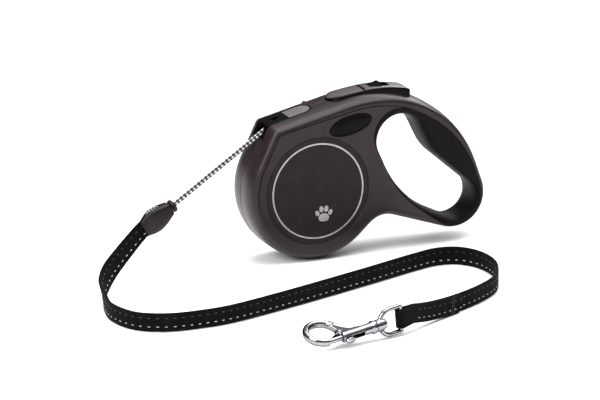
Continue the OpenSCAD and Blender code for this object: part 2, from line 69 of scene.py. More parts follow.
# ---- case ----
OUTER = [(0, 0, 46.5), (49.4, -39.2, -15.8), (98.2, -15, 22.8), (39.4, -22.1, 80.5), (-26, 38.5, 6.5)]
HOLE = [(100, -18, 13.3), (104.2, 33, -28), (59, 27, 15.2), (119, 43, 76.5)]
LINER = [(97.5, -15.9, 19.3), (39.5, -27.4, 78), (56.5, 31, 17.6), (111, 36.2, 69)]
CASE_HALF = 17.5
FLAT_HALF = 5.0        # half the straight band of the rim
TAPER = 0.06           # thinning a side, per millimetre beyond TAPER_X
TAPER_X = 45.0
SEAM = 0.06            # half the gap between the two shells
SEAM_DEEP = 1.5        # how far the seam's lip reaches in from the rim
SEAT = 0.88            # depth of the recesses for the labels and badges
GAP = 0.12             # gap between moulded parts
LABEL_R = 35.0
BADGE_AT = (22.6, 41.2)
BADGE_L, BADGE_W, BADGE_TILT = 30.0, 12.6, radians(13)
REEL_ROOM_R = 41.9
SCREWS = [(4, 49.3), (50, -14), (82, 41.4)]

# ---- nose and button ----
MOUTH = np.array([-22.5, 0, 44.0])
NOSE_FOOT = (-34.0, 35.4)      # lower front corner of the nose insert
NOSE_RISE = radians(22)
NOSE_END, NOSE_HALF = 2.0, 8.12
BUTTON_TOP = [(12.7, 53.2), (13.6, 55.2), (16, 56.8), (20, 57.9), (30, 59.4), (38, 60.4), (44, 60.8),
              (52, 60.7), (58, 60.1), (64, 59.1), (66.5, 58.5), (68, 57.7)]
BUTTON_FOOT = [(12.7, 51.4), (14, 49.6), (17, 48.9), (20.4, 48.4), (30, 50.5), (44, 53), (56, 53.4),
               (64, 52.2), (68, 51.4)]
BUTTON_HALF, BUTTON_END = 8.4, 68.0

# ---- leash ----
BEAD = np.array([-96.2, -8, -1.3])
CORD_R = 1.5
BELT_W, BELT_T = 12.0, 1.5
FOLD_GAP = BELT_T + 0.2        # between the middles of the webbing's two layers at its fold
FLOOR_Z = -46.5
CAP_LEN = 22.0
FLOOR_PATH = [(-163, -63), (-166.5, -85), (-159.5, -106.5), (-142, -117), (-120, -118.5), (-98, -115.5),
              (-60, -103), (0, -80.5), (48, -61.5), (67, -56.5), (81, -61.5), (88.5, -77),
              (87.5, -98), (76, -122), (56, -139), (33, -151.5)]

# ---- snap hook ----
HOOK_YAW, HOOK_DIP, HOOK_TILT = radians(191), radians(6), radians(17)
BAR_AT = np.array([-14.5, -178, FLOOR_Z + 10.7])
BAR_R = 1.6


# =============================== helpers ===============================
def unit(v):
    v = np.asarray(v, float)
    return v / np.linalg.norm(v)


def mix(a, b, t):
    return a + (b - a) * np.clip(t, 0, 1)


def belt(circles, step=1.6, grow=0.0):
    """Points [x, z, normal x, normal z] about step apart round a belt of circles."""
    rings = [(x, z, r + grow) for x, z, r in circles]

    def leave(a, b):
        dx, dz = b[0] - a[0], b[1] - a[1]
        return atan2(dz, dx) - acos((a[2] - b[2]) / hypot(dx, dz))

    corners = []
    for i, c in enumerate(rings):
        before, after = leave(rings[i - 1], c), leave(c, rings[(i + 1) % len(rings)])
        arc = (after - before) % tau if c[2] > 0 else -((before - after) % tau)
        n = max(2, ceil(abs(arc * c[2]) / step))
        for k in range(n + 1):
            a = before + arc * k / n
            corners.append((c[0] + c[2] * cos(a), c[1] + c[2] * sin(a), cos(a), sin(a)))
    corners = np.array(corners)
    out = []
    for a, b in zip(corners, np.roll(corners, -1, axis=0)):
        n = max(1, round(float(np.hypot(*(b - a)[:2])) / step))
        out += [a + (b - a) * k / n for k in range(n)]
    return np.array(out)


def thin(x):
    """How much each side of the case has thinned at x, with a soft start."""
    soft = 8.0
    u = np.asarray(x, float) - TAPER_X
    return TAPER * np.where(u < -soft, 0, np.where(u > soft, u, (u + soft) ** 2 / (4 * soft)))


def inside(points, loop):
    """Which 2D points lie inside a closed loop."""
    x, y = points[:, 0][:, None], points[:, 1][:, None]
    x0, y0 = loop[:, 0], loop[:, 1]
    x1, y1 = np.roll(x0, -1), np.roll(y0, -1)
    with np.errstate(divide="ignore", invalid="ignore"):
        hit = ((y0 > y) != (y1 > y)) & (x < (x1 - x0) * (y - y0) / (y1 - y0) + x0)
    return hit.sum(axis=1) % 2 == 1


def around(n):
    """n angles round a full turn."""
    return np.linspace(0, tau, n, False)


def shade(mesh, sharp):
    """Smooth shading, with the edges over sharp degrees kept crisp."""
    mesh.polygons.foreach_set("use_smooth", [True] * len(mesh.polygons))
    if sharp:
        mesh.set_sharp_from_angle(angle=radians(sharp))


def new_object(name, verts, faces, sharp=35, weld=0.002):
    """A smooth object from millimetre points, with outward faces; weld None leaves the mesh as given."""
    mesh = bpy.data.meshes.new(name)
    mesh.from_pydata((np.asarray(verts, float) * MM).tolist(), [], [list(map(int, f)) for f in faces])
    bm = bmesh.new()
    bm.from_mesh(mesh)
    if weld:
        bmesh.ops.remove_doubles(bm, verts=bm.verts, dist=weld * MM)
    if weld is not None:
        bmesh.ops.recalc_face_normals(bm, faces=bm.faces)
    bm.to_mesh(mesh)
    bm.free()
    shade(mesh, sharp)
    obj = bpy.data.objects.new(name, mesh)
    bpy.context.scene.collection.objects.link(obj)
    return obj


def finish_piece(obj, body, material, slot, *nodes):
    """Gives a piece its material and body, and lets it stand for CAD nodes; slot is not used."""
    if material:
        obj.data.materials.clear()
        obj.data.materials.append(material)
    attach(obj, body)
    if nodes:
        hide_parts(*nodes)
    return obj


def bake(obj):
    """Applies an object's modifiers."""
    bpy.context.view_layer.update()
    graph = bpy.context.evaluated_depsgraph_get()
    mesh = bpy.data.meshes.new_from_object(obj.evaluated_get(graph))
    obj.modifiers.clear()
    obj.data = mesh
    return obj


def boolean(obj, others, operation="DIFFERENCE"):
    """Cuts obj by each of the others, or joins or crosses it with them, and removes them."""
    for other in others:
        mod = obj.modifiers.new("cut", "BOOLEAN")
        mod.operation, mod.solver, mod.object = operation, "EXACT", other
        bake(obj)
        bpy.data.objects.remove(other)
    return obj


def bevelled(obj, width, segments, angle=None):
    """Rounds the edges of obj, those over angle degrees if it is given."""
    mod = obj.modifiers.new("edge", "BEVEL")
    mod.width, mod.segments = width * MM, segments
    if angle:
        mod.limit_method, mod.angle_limit = "ANGLE", radians(angle)
    return bake(obj)


def smooth_by_angle(obj, angle=35, weighted=False):
    shade(obj.data, angle)
    if weighted:
        mod = obj.modifiers.new("normals", "WEIGHTED_NORMAL")
        mod.keep_sharp = True
        mod.weight = 80
    return obj


def set_uv(obj, uv_of):
    """Gives each corner the U and V, in millimetres, that uv_of makes of its point's number."""
    layer = obj.data.uv_layers.new(name="uv")
    index = np.empty(len(obj.data.loops), int)
    obj.data.loops.foreach_get("vertex_index", index)
    layer.data.foreach_set("uv", np.column_stack(uv_of(index)).ravel().astype(float))


def quads(rows, n, first=0):
    """Faces between rows of n points each, closed round every row."""
    return [(k + i, k + (i + 1) % n, k + n + (i + 1) % n, k + n + i)
            for k in range(first, first + (rows - 1) * n, n) for i in range(n)]


def loft(name, rings, sharp=35, weld=0.002):
    """A skin through rings of equal length, closed at both ends."""
    rings = np.asarray(rings, float)
    m, n = rings.shape[:2]
    faces = quads(m, n) + [list(range(n)), list(range((m - 1) * n, m * n))]
    return new_object(name, rings.reshape(-1, 3), faces, sharp, weld)


def prism_y(name, points, y0, y1):
    """An [x, z] outline extruded along Y."""
    return loft(name, [[(x, y, z) for x, z in points] for y in (y0, y1)])


def circle(r, at=(0, 0), n=128):
    a = around(n)
    return np.column_stack([at[0] + r * np.cos(a), at[1] + r * np.sin(a)])


def cylinder_y(name, at, y0, y1, r, sides=96):
    return prism_y(name, circle(r, at, sides), y0, y1)


def spline(a, b, c, d, t):
    """The Catmull-Rom curve between b and c."""
    return b + 0.5 * t * (c - a + (2 * a - 5 * b + 4 * c - d) * t + (3 * b - a - 3 * c + d) * t ** 2)


def smooth_curve(points, step):
    """A Catmull-Rom curve through points, sampled about step apart."""
    p = np.asarray(points, float)
    p = np.vstack([2 * p[0] - p[1], p, 2 * p[-1] - p[-2]])
    out = []
    for i in range(1, len(p) - 2):
        n = max(1, ceil(np.linalg.norm(p[i + 1] - p[i]) / step))
        out.append(spline(*p[i - 1:i + 3], np.arange(n)[:, None] / n))
    return np.vstack(out + [p[-2][None]])


def lengths(line):
    """The distance run along a line at each of its points."""
    return np.concatenate([[0], np.cumsum(np.linalg.norm(np.diff(line, axis=0), axis=1))])


def height_on(points, x):
    """Linear look-up of a height along a list of [x, z]."""
    p = np.asarray(points, float)
    return np.interp(x, p[:, 0], p[:, 1])


# =============================== materials ===============================
class Nodes:
    """A short way to build the nodes of a material or of the world."""

    def __init__(self, owner, coords="Object", shader="Principled BSDF"):
        owner.use_nodes = True
        self.owner, self.tree = owner, owner.node_tree
        self.shader = self.tree.nodes[shader]
        self.place = self.add("ShaderNodeTexCoord").outputs[coords]

    def add(self, kind, **inputs):
        node = self.tree.nodes.new(kind)
        for key, value in inputs.items():
            self.put(node.inputs[key.replace("_", " ")], value)
        return node

    def put(self, socket, value):
        if isinstance(value, bpy.types.NodeSocket):
            self.tree.links.new(value, socket)
        else:
            socket.default_value = value

    def noise(self, size, detail=3.0, rough=0.55, place=None):
        """Noise with features about size millimetres across."""
        n = self.add("ShaderNodeTexNoise", Vector=place or self.place, Scale=1000.0 / size, Detail=detail,
                     Roughness=rough)
        return n.outputs["Fac"]

    def ramp(self, value, low, high, a, b):
        """Maps low to high onto a to b, clamped."""
        n = self.add("ShaderNodeMapRange", Value=value, From_Min=low, From_Max=high, To_Min=a, To_Max=b)
        return n.outputs["Result"]

    def blend(self, factor, a, b):
        n = self.tree.nodes.new("ShaderNodeMix")
        n.data_type = "RGBA"
        self.put(n.inputs["Factor"], factor)
        self.put(n.inputs[6], a)
        self.put(n.inputs[7], b)
        return n.outputs[2]

    def math(self, kind, a, b=0.0):
        n = self.tree.nodes.new("ShaderNodeMath")
        n.operation = kind
        self.put(n.inputs[0], a)
        self.put(n.inputs[1], b)
        return n.outputs[0]

    def bump(self, height, strength, depth, below=None):
        n = self.add("ShaderNodeBump", Height=height, Strength=strength, Distance=depth * MM)
        if below:
            self.tree.links.new(below, n.inputs["Normal"])
        return n.outputs["Normal"]

    def finish(self, **inputs):
        for key, value in inputs.items():
            self.put(self.shader.inputs[key.replace("_", " ")], value)
        return self.owner


def new_material(name, coords="Object"):
    return Nodes(bpy.data.materials.new(name), coords)


def rgb(r, g, b):
    """Linear colour from screen values 0 to 255."""
    return *(((c / 255 + 0.055) / 1.055) ** 2.4 if c > 10 else c / 255 / 12.92 for c in (r, g, b)), 1.0


def moulded(name, dark, light, rough, grain=0.22, depth=0.012, shine=0.5):
    """Moulded plastic: a fine spark-eroded grain, slight cloudiness and uneven gloss."""
    m = new_material(name)
    cloud = m.noise(9, 4)
    fine = m.noise(grain, 2)
    smear = m.noise(3.2, 5, 0.65)
    colour = m.blend(m.ramp(cloud, 0.35, 0.65, 0, 1), dark, light)
    normal = m.bump(fine, 0.5, depth, m.bump(m.noise(14, 2), 0.12, 0.1))
    return m.finish(Base_Color=colour, Roughness=m.ramp(smear, 0.3, 0.7, rough - 0.04, rough + 0.05),
                    Normal=normal, Specular_IOR_Level=shine)


def metal(name, low, high, rough, scratch=0.25, depth=0.004, edge=None):
    """Polished or plated metal with a faint tarnish and hairline scratches; given edge, a painted dark
    reflection where it turns away from the view.
    """
    m = new_material(name)
    stretch = m.add("ShaderNodeMapping", Vector=m.place, Scale=(1.0, 1.0, 7.0)).outputs["Vector"]
    lines = m.noise(scratch, 4, 0.6, stretch)
    tarnish = m.noise(2.5, 4)
    colour = m.blend(m.ramp(tarnish, 0.35, 0.7, 0, 1), high, low)
    # Painted reflection: the edge colour darkens the metal where it turns away from the view, standing in for
    # the dark bands that chrome reflects.
    if edge:
        facing = m.add("ShaderNodeLayerWeight", Blend=0.5).outputs["Facing"]
        colour = m.blend(m.ramp(facing, 0.25, 0.7, 0, 1), colour, edge)
    return m.finish(Base_Color=colour, Metallic=1.0, Normal=m.bump(lines, 0.25, depth),
                    Roughness=m.ramp(lines, 0.3, 0.75, rough * 0.6, rough * 1.5))


def yarn(name, dark, light):
    """Thread or yarn: fine twisted fibres along the strand, which runs along U."""
    m = new_material(name, "UV")
    lay = m.add("ShaderNodeMapping", Vector=m.place, Rotation=(0, 0, radians(32))).outputs["Vector"]
    wave = m.add("ShaderNodeTexWave", Vector=lay, Scale=2.1875, Distortion=1.2, Detail=2.0)
    fuzz = m.noise(0.3, 3, 0.6, m.add("ShaderNodeTexCoord").outputs["Object"])
    colour = m.blend(wave.outputs["Fac"], dark, light)
    return m.finish(Base_Color=colour, Roughness=0.75, Sheen_Weight=0.35, Sheen_Roughness=0.5,
                    Normal=m.bump(fuzz, 0.4, 0.03, m.bump(wave.outputs["Fac"], 0.5, 0.05)))


def woven(name):
    """Black tape: ribs across it, crossed by lengthways warp yarns. U runs along it and V across."""
    m = new_material(name, "UV")
    rib = m.add("ShaderNodeTexWave", Vector=m.place, Scale=0.52, Distortion=0.35, Detail=1.0)
    rib.bands_direction = "X"
    warp = m.add("ShaderNodeTexWave", Vector=m.place, Scale=0.62, Distortion=0.5, Detail=1.0)
    warp.bands_direction = "Y"
    weave = m.math("MULTIPLY", rib.outputs["Fac"], warp.outputs["Fac"])
    solid = m.add("ShaderNodeTexCoord").outputs["Object"]
    fuzz, worn = m.noise(0.25, 3, 0.7, solid), m.noise(7, 3, 0.6, solid)
    base = m.blend(weave, rgb(1, 1, 1), rgb(10, 8, 9))
    colour = m.blend(m.math("MULTIPLY", m.ramp(worn, 0.4, 0.8, 0, 0.3), fuzz), base, rgb(36, 32, 34))
    normal = m.bump(fuzz, 0.35, 0.05, m.bump(weave, 0.9, 0.16))
    return m.finish(Base_Color=colour, Roughness=0.85, Normal=normal, Specular_IOR_Level=0.1)


CASE = moulded("case_satin", rgb(27, 17, 20), rgb(34, 23, 26), 0.34, shine=0.28)
LABEL = moulded("label_satin", rgb(24, 15, 16), rgb(31, 20, 21), 0.42, 0.18, 0.008, shine=0.18)
GRIP = moulded("grip_soft", rgb(9, 6, 7), rgb(14, 10, 11), 0.55, 0.35, 0.03, shine=0.08)
GLOSS = moulded("gloss_black", rgb(2, 2, 2), rgb(4, 3, 3), 0.12, 0.8, 0.002, shine=0.07)
SATIN = moulded("satin_grey", rgb(60, 54, 57), rgb(70, 64, 67), 0.33, 0.3, 0.012)
# The nose plate's grey satin is lighter than the button's: partly its own grey, partly painted light from the
# key lamp on its slope.
PLATE_PAINTED_LIGHT = moulded("satin_plate", rgb(84, 79, 81), rgb(95, 90, 92), 0.3, 0.3, 0.012)
SOFT = moulded("soft_black", rgb(19, 12, 13), rgb(28, 19, 20), 0.4, 0.3, 0.02, shine=0.24)
RESIN = moulded("white_resin", rgb(196, 194, 186), rgb(212, 210, 203), 0.45, 0.5, 0.02)
SILVER = metal("printed_silver", rgb(158, 152, 154), rgb(188, 182, 184), 0.45, 0.12, 0.006)
# The dark edge colour on the chrome is a painted reflection where it turns away from the view.
CHROME = metal("chrome_plate", rgb(132, 133, 136), rgb(160, 161, 164), 0.08, edge=rgb(34, 34, 37))
STEEL = metal("turned_steel", rgb(150, 150, 153), rgb(184, 184, 187), 0.25, 0.3, 0.01)
SPRING = metal("blued_spring", rgb(84, 90, 106), rgb(120, 124, 134), 0.3, 0.2, 0.006)
WHITE_YARN = yarn("white_yarn", rgb(176, 175, 172), rgb(238, 237, 233))
BLACK_YARN = yarn("black_yarn", rgb(9, 9, 10), rgb(30, 28, 30))
THREAD = yarn("light_thread", rgb(170, 165, 160), rgb(226, 222, 216))
DARK_THREAD = yarn("dark_thread", rgb(20, 18, 19), rgb(52, 48, 50))
WEBBING = woven("woven_tape")
CORD_WOUND = yarn("wound_cord", rgb(28, 27, 28), rgb(170, 168, 165))


# =============================== the case ===============================
RIM_ANGLES = np.radians(np.linspace(0, 90, 15))
outline = belt(OUTER)
hole_line = belt(HOLE, 1.4)
liner_line = belt(LINER, 1.6)


def rim_inset(x):
    return mix(5, 3.3, (x - 40) / 50)


def hole_inset(x):
    return mix(5, 2.8, (x - 60) / 45)


def moved(path, inset):
    """The path's [x, z] moved against its normals."""
    return path[:, :2] - path[:, 2:] * np.asarray(inset)[..., None]


def at_y(flat, y):
    """[x, z] points set at y."""
    return np.column_stack([flat[:, 0], np.broadcast_to(y, len(flat)), flat[:, 1]])


def rim_ring(path, inset_of, a, side, flare=1):
    """One ring of a rounded edge, a radians round from the straight band."""
    xz = moved(path, flare * inset_of(path[:, 0]) * (1 - cos(a)))
    return at_y(xz, side * (FLAT_HALF + (CASE_HALF - FLAT_HALF) * sin(a) - thin(xz[:, 0])))


def without_slivers(xz, tri):
    """Drops flat triangles that hang on the outside of a straight run of points."""
    sides = [[(t[k], t[(k + 1) % 3]) for k in range(3)] for t in tri]
    uses = Counter(frozenset(side) for group in sides for side in group)
    keep = []
    for t, group in zip(tri, sides):
        (ax, az), (bx, bz) = xz[t[1]] - xz[t[0]], xz[t[2]] - xz[t[0]]
        longest = max(group, key=lambda side: np.hypot(*(xz[side[1]] - xz[side[0]])))
        keep.append(abs(ax * bz - az * bx) > 2e-4 or uses[frozenset(longest)] > 1)
    return tri[np.array(keep)]


class Sheet:
    """A flat region in [x, z] with holes and creases, triangulated and then lifted to its height."""

    def __init__(self, outer, holes=()):
        self.points, self.depth, self.edges = [], [], []
        self.outer, self.holes = outer, list(holes)
        for loop in [outer, *self.holes]:
            self.line(loop, 0.0)

    def line(self, loop, depth, closed=True):
        first, n = len(self.points), len(loop)
        self.points += [tuple(p) for p in np.asarray(loop)]
        self.depth += list(np.broadcast_to(depth, n))
        self.edges += [(first + i, first + (i + 1) % n) for i in range(n if closed else n - 1)]

    def fill(self, step):
        """Inner points, so that a bent face follows its curve."""
        low, high = np.min(self.outer, axis=0), np.max(self.outer, axis=0)
        grid = np.array([(x, z) for x in np.arange(low[0], high[0], step)
                         for z in np.arange(low[1], high[1], step)])
        near = np.array(self.points)
        keep = inside(grid, self.outer)
        for hole in self.holes:
            keep &= ~inside(grid, hole)
        for p in grid[keep]:
            d = np.hypot(*(near - p).T)
            if d.min() > 0.7 * step:
                self.points.append(tuple(p))
                self.depth.append(None)

    def lift(self, height, depth_inside=()):
        """(points, triangles); height gives y from x, and each depth is taken off it."""
        points = [Vector(p) for p in self.points]
        verts, _, faces, source, _, _ = delaunay_2d_cdt(points, self.edges, [], 1, 1e-5, True)
        xz, tri = np.array([tuple(v) for v in verts]), np.array(faces)
        middle = xz[tri].mean(axis=1)
        keep = inside(middle, self.outer)
        for hole in self.holes:
            keep &= ~inside(middle, hole)
        tri = without_slivers(xz, tri[keep])
        depth = np.zeros(len(xz))
        for i, ids in enumerate(source):
            known = [self.depth[k] for k in ids if self.depth[k] is not None]
            depth[i] = max(known) if known else 0.0
            if not known:
                for loop, d in depth_inside:
                    if inside(xz[i:i + 1], loop)[0]:
                        depth[i] = d
        y = height(xz[:, 0]) - depth
        return np.column_stack([xz[:, 0], y, xz[:, 1]]), tri


def oval(grow):
    """The badge's outline."""
    a = around(72)
    u, v = (BADGE_L / 2 + grow) * np.cos(a), (BADGE_W / 2 + grow) * np.sin(a)
    c, s = cos(BADGE_TILT), sin(BADGE_TILT)
    return np.column_stack([BADGE_AT[0] + u * c - v * s, BADGE_AT[1] + u * s + v * c])


def groove(sheet, path, width, depth):
    """An open groove along path that fades out at both ends."""
    d = np.gradient(path, axis=0)
    n = np.column_stack([-d[:, 1], d[:, 0]]) / np.hypot(d[:, 0], d[:, 1])[:, None]
    t = np.linspace(0, 1, len(path))
    fade = np.clip(np.minimum(t, 1 - t) / 0.12, 0.02, 1)
    for k, share in ((-1, 0), (-0.45, 1), (0.45, 1), (1, 0)):
        sheet.line(path + n * (k * width / 2 * fade)[:, None], depth * fade * share, closed=False)


def part_of(path, start, end):
    """The stretch of a closed path, anticlockwise, between the points nearest start and end."""
    i, j = (int(np.argmin(np.hypot(path[:, 0] - x, path[:, 1] - z))) for x, z in (start, end))
    return path[i:j + 1] if i <= j else np.vstack([path[i:], path[:j + 1]])


def panel_lines(sheet):
    """The long line under the button and round the reel, and the light line along the lower strut."""
    top = part_of(outline, (84, 43), (-40, -24))
    inset = 5.6 + 1.1 * np.clip((top[:, 0] + 12) / 30, 0, 1)
    groove(sheet, moved(top, inset), 0.8, 0.8)
    strut = part_of(outline, (44, -24), (77, -31))
    groove(sheet, moved(strut, rim_inset(strut[:, 0]) + 0.75), 0.4, 0.25)


def half_shell(side):
    """One closed half of the case: rim, face with its recesses, and seam lip."""
    n = len(outline)
    lip = [at_y(moved(outline, np.full(n, inset)), side * y)
           for inset, y in ((SEAM_DEEP, SEAM), (0.26, SEAM), (0, 0.34))]
    rings = lip + [rim_ring(outline, rim_inset, a, side) for a in RIM_ANGLES]
    verts, faces = np.vstack(rings), quads(len(rings), n)

    face = Sheet(moved(outline, rim_inset(outline[:, 0])))
    for grow, depth in ((0.45, 0), (0.3, 0.14), (0.28, SEAT)):
        face.line(circle(LABEL_R + grow), depth)
    for grow, depth in ((GAP + 0.15, 0), (GAP, 0.14), (GAP - 0.02, SEAT)):
        face.line(oval(grow), depth)
    panel_lines(face)
    face.fill(3.0)
    points, triangles = face.lift(lambda x: CASE_HALF - thin(x),
                                  [(circle(LABEL_R + 0.29), SEAT), (oval(GAP - 0.01), SEAT)])
    points[:, 1] *= side
    faces += [tuple(t + len(verts)) for t in triangles]
    verts = np.vstack([verts, points])

    seam = Sheet(moved(outline, np.full(n, SEAM_DEEP)))
    points, triangles = seam.lift(lambda x: np.full(len(x), SEAM))
    points[:, 1] *= side
    faces += [tuple(t + len(verts)) for t in triangles]
    verts = np.vstack([verts, points])
    return new_object("shell_near" if side < 0 else "shell_far", verts, faces)


def tongue(front, end, half, n=28):
    """The nose insert's plan, [x, y], with a round end at the back."""
    a = np.linspace(-pi / 2, pi / 2, n)
    round_end = [(end - half * 0.9 + half * 0.9 * cos(t), half * sin(t)) for t in a]
    return [(front, -half)] + round_end + [(front, half)]


def nose_floor(x):
    return NOSE_FOOT[1] + (x - NOSE_FOOT[0]) * tan(NOSE_RISE)


def nose_block(name, front, end, half, floor, top=70):
    plan = tongue(front, end, half)
    return loft(name, [[(x, y, floor(x)) for x, y in plan], [(x, y, top) for x, y in plan]])


def frame_on(z, hint):
    """A 3x3 with columns x, y, z whose z is given and whose x lies near hint."""
    z = unit(z)
    x = unit(np.asarray(hint, float) - z * np.dot(hint, z))
    return np.column_stack([x, np.cross(z, x), z])


PULL = unit(BEAD - MOUTH)
CAP_AT = BEAD + PULL * 2
CAP_ACROSS = unit([-0.518, -0.054, 0.853])
LEASH = frame_on(PULL, CAP_ACROSS)


def cone(name, a, b, ra, rb, sides=48):
    """A round cutter from a to b."""
    f = frame_on(b - a, (0, 1, 0))
    return loft(name, [[c + f @ np.array([r * cos(q), r * sin(q), 0]) for q in around(sides)]
                       for c, r in ((a, ra), (b, rb))])


MECHANISM = [(-24, 36), (40, 16), (38.4, 30), (41, 40), (47, 46), (21, 48.6), (12.6, 48.6), (2, 45.5),
             (-22, 38)]


def pocket_cutter():
    """Room for the button: rounded in plan at the front, deep enough for the press."""
    half, centre, length, end = BUTTON_HALF + 0.14, 20.6, 8.1, BUTTON_END + 0.4
    foot = lambda x: float(np.interp(x, [12, 22, 30, 44, 56, 68.4], [47.6, 47, 48.8, 50.2, 49.8, 46.2]))
    xs = {round(centre - length * cos(t), 4) for t in np.linspace(0, pi / 2, 13)} | {30.0, 44.0, 56.0, end}
    rings = []
    for x in sorted(xs):
        w = half if x > centre else max(0.05, half * max(0.0, 1 - ((centre - x) / length) ** 2) ** 0.5)
        rings.append([(x, -w, foot(x)), (x, w, foot(x)), (x, w, 66), (x, -w, 66)])
    return loft("pocket", rings)


def build_shells():
    for side, name in ((-1, "shell_left"), (1, "shell_right")):
        shell = half_shell(side)
        y0, y1 = sorted((side * (CASE_HALF - 2.2), -side))
        m0, m1 = sorted((side * 12.0, -side))
        cutters = [prism_y("grip_room", belt(LINER, 1.6, GAP)[:, :2], -20, 20),
                   cylinder_y("room", (0, 0), y0, y1, REEL_ROOM_R), prism_y("mechanism", MECHANISM, m0, m1),
                   pocket_cutter(), nose_block("seat", -45, NOSE_END, NOSE_HALF, nose_floor),
                   prism_y("way", [(-8, 37.2), (-8, 42.4), (-22, 46.5), (-22, 41.3)], -2.6, 2.6),
                   prism_y("run", [(-28, 38.3), (-28, 42), (-38, 37), (-38, 32.1)], -3.2, 3.2)]
        if side > 0:
            for x, z in SCREWS:
                face = CASE_HALF - float(thin(x))
                cutters.append(cylinder_y("counterbore", (x, z), face - 3.85, 19, 1.95, 32))
        boolean(shell, cutters)
        smooth_by_angle(shell, 32, weighted=True)
        finish_piece(shell, "root", CASE, "case_plastic", name)


def build_grip():
    """Soft ring round the hand hole, with a crowned lip set a little below the case."""
    n = len(hole_line)
    flare = [rim_ring(hole_line, hole_inset, a, side, -1)
             for side, angles in ((-1, RIM_ANGLES[::-1]), (1, RIM_ANGLES[1:])) for a in angles]
    verts, faces = np.vstack(flare), quads(len(flare), n)
    edge = [moved(liner_line, np.full(len(liner_line), g)) for g in (0.32, 0.0)]
    m = len(liner_line)
    for side in (-1, 1):
        sheet = Sheet(edge[0], [moved(hole_line, -hole_inset(hole_line[:, 0]))])
        sheet.fill(2.5)
        points, triangles = sheet.lift(lambda x: CASE_HALF - thin(x))
        points[:, 1] *= side
        faces += [tuple(t + len(verts)) for t in triangles]
        verts = np.vstack([verts, points])
    rows = []
    for side, order in ((-1, (0, 1)), (1, (1, 0))):
        for k in order:
            rows.append(at_y(edge[k], side * (CASE_HALF - (0.0, 0.32)[k] - thin(edge[k][:, 0]))))
    faces += quads(4, m, first=len(verts))
    verts = np.vstack([verts] + rows)
    grip = boolean(new_object("grip_ring", verts, faces), [full_case(0.03, True)], "INTERSECT")
    smooth_by_angle(grip, 40, weighted=True)
    finish_piece(grip, "root", GRIP, "grip_rubber", "grip_liner")


def plate_y(name, loop_at, levels, side):
    """A thin plate: loops of [x, z] grown by levels' first value at the y of its second."""
    rings = [at_y(loop_at(g), side * y) for g, y in levels]
    return loft(name, rings, sharp=50)


def build_faces():
    """The label discs with their printed ring and paw, and the oval badges."""
    for side, end in ((-1, "left"), (1, "right")):
        top = CASE_HALF - 0.1
        disc = plate_y("label_disc_" + end, lambda g: circle(LABEL_R + g, n=160),
                       [(0, top - 0.62), (0, top - 0.12), (-0.12, top)], side)
        finish_piece(smooth_by_angle(disc, 30, True), "root", LABEL, "case_plastic", "label_" + end)

        ring_in, ring_out, film = 30.55, 31.55, 0.05
        rows = [at_y(circle(r, n=192), side * y)
                for r, y in ((ring_in, top), (ring_in, top + film), (ring_out, top + film), (ring_out, top))]
        ring = new_object("printed_ring_" + end, np.vstack(rows), quads(4, 192))
        finish_piece(ring, "root", SILVER, "case_plastic")

        pads = [(0, 0, 3.6, 2.9, 0), (-4.5, 3.2, 1.35, 1.9, 24), (-1.7, 5.7, 1.4, 2.1, 8),
                (1.7, 5.7, 1.4, 2.1, -8), (4.5, 3.2, 1.35, 1.9, -24)]
        for i, (px, pz, rx, rz, lean) in enumerate(pads):
            t = around(40)
            c, s = cos(radians(lean)), sin(radians(lean))
            dent = 1 - (0.16 * np.exp(-((t - 1.5 * pi) / 0.5) ** 2) if i == 0 else 0)
            u, v = rx * np.cos(t) * dent, rz * np.sin(t) * dent
            flat = np.column_stack([4 + px + u * c - v * s, -18 + pz + u * s + v * c])
            pad = loft(f"printed_paw_{end}_{i}", [at_y(flat, side * top), at_y(flat, side * (top + film))])
            finish_piece(pad, "root", SILVER, "case_plastic")

        badge = plate_y("badge_dome_" + end, oval,
                        [(0, 16.72), (0, 17.5), (-0.35, 17.8), (-0.9, 17.85), (-1.15, 17.7), (-1.5, 17.72),
                         (-3.0, 17.95), (-4.6, 18.05)], side)
        finish_piece(smooth_by_angle(badge, 40), "root", GLOSS, "gloss_black", "badge_" + end)


def full_case(proud=0.0, thinned=False):
    """The rounded case as one solid, for shaping the parts that end in its surface."""
    rings = []
    for side, angles in ((-1, RIM_ANGLES[::-1]), (1, RIM_ANGLES)):
        for a in angles:
            xz = moved(outline, rim_inset(outline[:, 0]) * (1 - cos(a)))
            drop = thin(xz[:, 0]) if thinned else 0.0
            rings.append(at_y(xz, side * (FLAT_HALF + (CASE_HALF - FLAT_HALF) * sin(a) + proud - drop)))
    return loft("case_solid", rings)


def build_nose():
    """Glossy nose insert with its funnel, and the satin plate on top of it, coloured lighter than the
    button's satin grey as painted light.
    """
    nose = nose_block("nose_funnel", -45, NOSE_END - 0.14, NOSE_HALF - 0.14, lambda x: nose_floor(x) + 0.12)
    boolean(nose, [full_case()], "INTERSECT")
    top_line = lambda x: 44.8 + 0.2355 * (x + 27.5)
    cut = [cone("funnel", MOUTH - 3 * PULL, MOUTH + 14 * PULL, 2.3, 4.6),
           cone("channel", MOUTH, np.array([10, 0, 34.6]), 2.2, 3.4),
           nose_block("plate_seat", -15.5, NOSE_END - 1.1, 6.9, lambda x: top_line(x) - 1.3)]
    boolean(nose, cut)
    smooth_by_angle(nose, 30, True)
    finish_piece(nose, "root", GLOSS, "gloss_black", "nose_insert")

    # The plate's light grey is partly painted light from the key lamp.
    plate = nose_block("nose_plate", -15.3, NOSE_END - 1.3, 6.7, lambda x: top_line(x) - 1.2)
    boolean(plate, [full_case()], "INTERSECT")
    smooth_by_angle(bevelled(plate, 0.25, 2, 45), 30, True)
    finish_piece(plate, "root", PLATE_PAINTED_LIGHT, "gloss_black")


